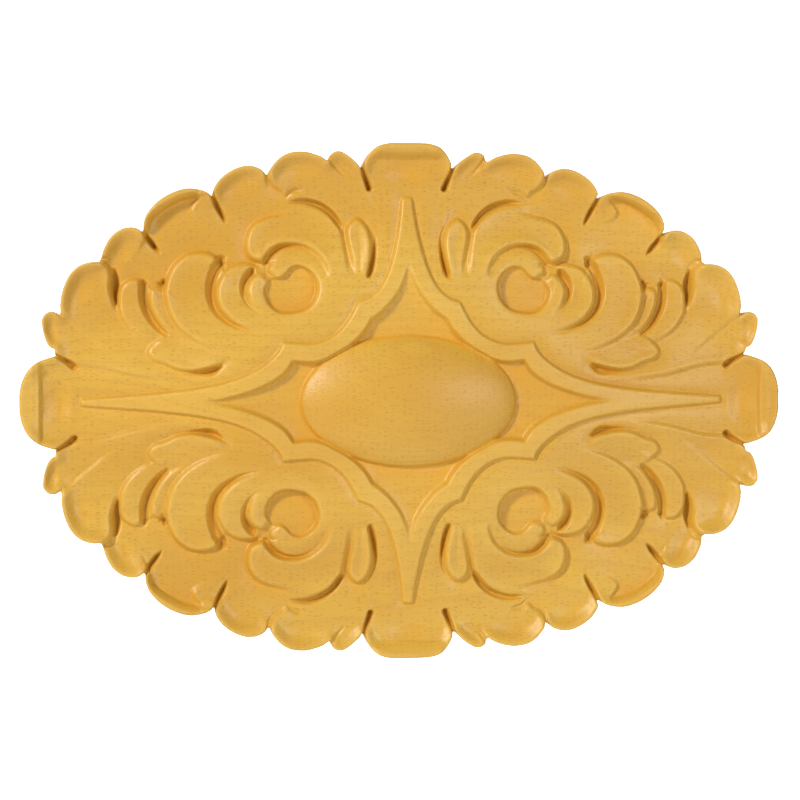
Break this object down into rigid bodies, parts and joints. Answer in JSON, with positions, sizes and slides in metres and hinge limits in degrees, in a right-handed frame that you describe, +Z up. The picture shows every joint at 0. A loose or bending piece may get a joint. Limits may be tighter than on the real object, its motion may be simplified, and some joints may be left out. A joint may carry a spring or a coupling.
{
  "type": "carved oval wooden rosette",
  "caption": "Oval beech appliqué carved in relief with four mirrored scrolled leaf sprays round a plain domed boss, with a flat back to fix to a surface.",
  "frame": {"origin": "centre of the flat back face, which lies against the wall, door or panel it is fixed to", "axes": "+Y into the surface it is fixed to, so the carving faces -Y; +X along the oval's length and the grain; +Z up the oval's height"},
  "size_m": [0.3, 0.022, 0.2014],
  "materials": {
    "beech": "fine-sanded beech, warm honey colour, satin"
  },
  "bodies": {
    "root": {"rosette": "beech"}
  },
  "joints": []
}
